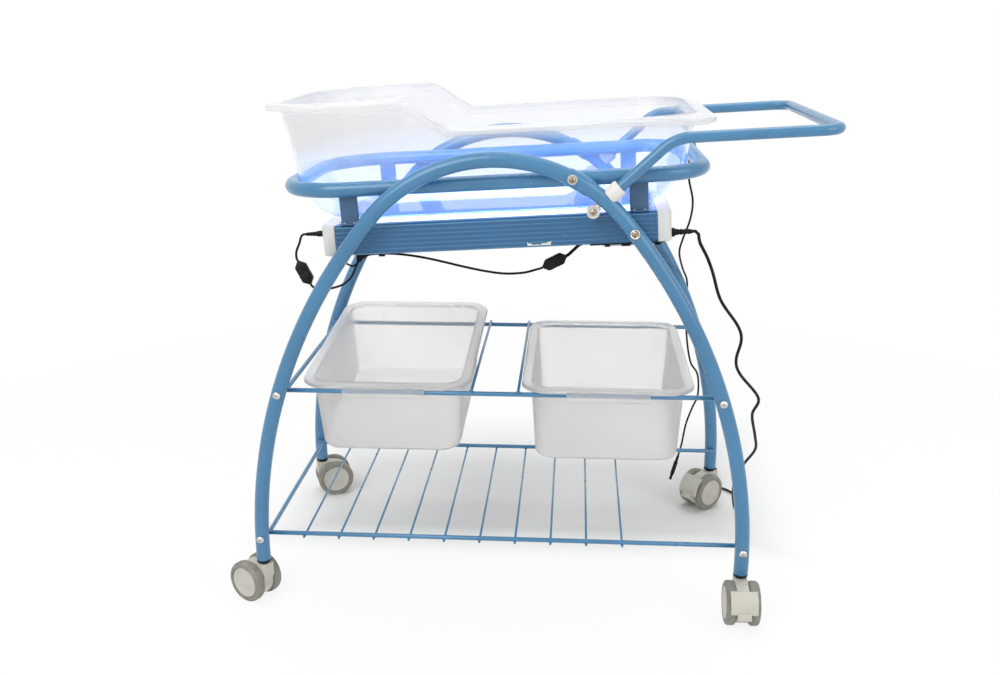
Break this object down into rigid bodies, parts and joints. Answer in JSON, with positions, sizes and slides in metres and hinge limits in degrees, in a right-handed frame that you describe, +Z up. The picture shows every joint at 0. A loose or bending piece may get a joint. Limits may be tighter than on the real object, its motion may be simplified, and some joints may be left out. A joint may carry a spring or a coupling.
{
  "type": "infant phototherapy bed",
  "caption": "Infant phototherapy bed: clear hooded bassinet over a flat light box on a tubular arch frame with push handle, wire racks, translucent bins and twin-wheel casters.",
  "frame": {"origin": "on the floor, under the middle of the object's box with the cords left out", "axes": "+X towards the push handle, -Y towards the front, +Z up"},
  "size_m": [1.0262, 0.6854, 0.8843],
  "materials": {
    "blue_paint": "smooth gloss enamel on steel tube",
    "box_paint": "satin enamel on a ribbed sheet housing",
    "white_plastic": "moulded, satin",
    "cream_nylon": "moulded, worn satin",
    "grey_tread": "matt",
    "black_plastic": "soft satin",
    "zinc_screw": "bright plated",
    "clear_acrylic": "clear, polished",
    "milky_plastic": "translucent, satin",
    "light_strip": "lit board"
  },
  "bodies": {
    "frame": {"basin_ring": "blue_paint", "bed_cross_tube": "blue_paint", "dc_lead_long": "black_plastic", "dc_lead_short": "black_plastic", "dc_plug": "black_plastic", "front_arch_tube": "blue_paint", "front_box_bolt": "zinc_screw", "front_handle_bolt": "zinc_screw", "front_handle_saddle": "white_plastic", "front_left_collar": "black_plastic", "front_leg_tube": "blue_paint", "front_right_collar": "black_plastic", "lamp_cover": "clear_acrylic", "lamp_housing": "box_paint", "lead_clip": "black_plastic", "lead_connector": "black_plastic", "left_coupler": "black_plastic", "left_end_cap": "white_plastic", "light_driver": "black_plastic", "light_panel": "light_strip", "lower_rack": "blue_paint", "lower_rack_front_left_screw": "zinc_screw", "lower_rack_front_right_screw": "zinc_screw", "lower_rack_rear_left_screw": "zinc_screw", "lower_rack_rear_right_screw": "zinc_screw", "mains_coil": "black_plastic", "mains_cord": "black_plastic", "mains_gland": "black_plastic", "mains_plug": "black_plastic", "push_handle": "blue_paint", "rear_arch_tube": "blue_paint", "rear_box_bolt": "zinc_screw", "rear_handle_bolt": "zinc_screw", "rear_handle_saddle": "white_plastic", "rear_left_collar": "black_plastic", "rear_leg_tube": "blue_paint", "rear_right_collar": "black_plastic", "reflector_tray": "white_plastic", "right_coupler": "black_plastic", "right_end_cap": "white_plastic", "ring_clip": "black_plastic", "thin_lead": "black_plastic", "upper_rack": "blue_paint", "upper_rack_front_left_screw": "zinc_screw", "upper_rack_front_right_screw": "zinc_screw", "upper_rack_rear_left_screw": "zinc_screw", "upper_rack_rear_right_screw": "zinc_screw"},
    "front_left_caster": {"front_left_caster_body": "cream_nylon"},
    "front_right_caster": {"front_right_caster_body": "cream_nylon"},
    "rear_left_caster": {"rear_left_caster_body": "cream_nylon"},
    "rear_right_caster": {"rear_right_caster_body": "cream_nylon"},
    "front_left_wheels": {"front_left_twin_wheels": "grey_tread"},
    "front_right_wheels": {"front_right_twin_wheels": "grey_tread"},
    "rear_left_wheels": {"rear_left_twin_wheels": "grey_tread"},
    "rear_right_wheels": {"rear_right_twin_wheels": "grey_tread"},
    "front_right_pedal": {"front_right_brake_pedal": "cream_nylon"},
    "rear_right_pedal": {"rear_right_brake_pedal": "cream_nylon"},
    "left_bin": {"left_bin": "milky_plastic"},
    "right_bin": {"right_bin": "milky_plastic"},
    "basin": {"basin": "clear_acrylic"}
  },
  "joints": [
    {"name": "front_left_swivel", "type": "hinge", "parent": "frame", "child": "front_left_caster", "pos_m": [-0.44635, -0.212, 0.08], "axis": [0, 0, 1], "continuous": true},
    {"name": "front_right_swivel", "type": "hinge", "parent": "frame", "child": "front_right_caster", "pos_m": [0.39568, -0.212, 0.08], "axis": [0, 0, 1], "continuous": true},
    {"name": "rear_left_swivel", "type": "hinge", "parent": "frame", "child": "rear_left_caster", "pos_m": [-0.44635, 0.236, 0.08], "axis": [0, 0, 1], "continuous": true},
    {"name": "rear_right_swivel", "type": "hinge", "parent": "frame", "child": "rear_right_caster", "pos_m": [0.39568, 0.236, 0.08], "axis": [0, 0, 1], "continuous": true},
    {"name": "front_left_roll", "type": "hinge", "parent": "front_left_caster", "child": "front_left_wheels", "pos_m": [-0.468, -0.1995, 0.038], "axis": [-0.5, -0.866, 0], "continuous": true},
    {"name": "front_right_roll", "type": "hinge", "parent": "front_right_caster", "child": "front_right_wheels", "pos_m": [0.39568, -0.237, 0.038], "axis": [1, 0, 0], "continuous": true},
    {"name": "rear_left_roll", "type": "hinge", "parent": "rear_left_caster", "child": "rear_left_wheels", "pos_m": [-0.42317, 0.24537, 0.038], "axis": [-0.3746, 0.9272, 0], "continuous": true},
    {"name": "rear_right_roll", "type": "hinge", "parent": "rear_right_caster", "child": "rear_right_wheels", "pos_m": [0.3771, 0.21928, 0.038], "axis": [0.6691, -0.7431, 0], "continuous": true},
    {"name": "front_right_pedal_lift", "type": "hinge", "parent": "front_right_caster", "child": "front_right_pedal", "pos_m": [0.39568, -0.25715, 0.06903], "axis": [-1, 0, 0], "range_deg": [0, 15]},
    {"name": "rear_right_pedal_lift", "type": "hinge", "parent": "rear_right_caster", "child": "rear_right_pedal", "pos_m": [0.36213, 0.20579, 0.06903], "axis": [-0.6691, 0.7431, 0], "range_deg": [0, 15]},
    {"name": "left_bin_lift", "type": "slide", "parent": "frame", "child": "left_bin", "axis": [0.1961, 0, 0.9806], "range_m": [0, 0.115]},
    {"name": "right_bin_lift", "type": "slide", "parent": "frame", "child": "right_bin", "axis": [0, 0, 1], "range_m": [0, 0.13]},
    {"name": "basin_lift", "type": "slide", "parent": "frame", "child": "basin", "axis": [-0.0558, 0, 0.9984], "range_m": [0, 0.15]}
  ]
}
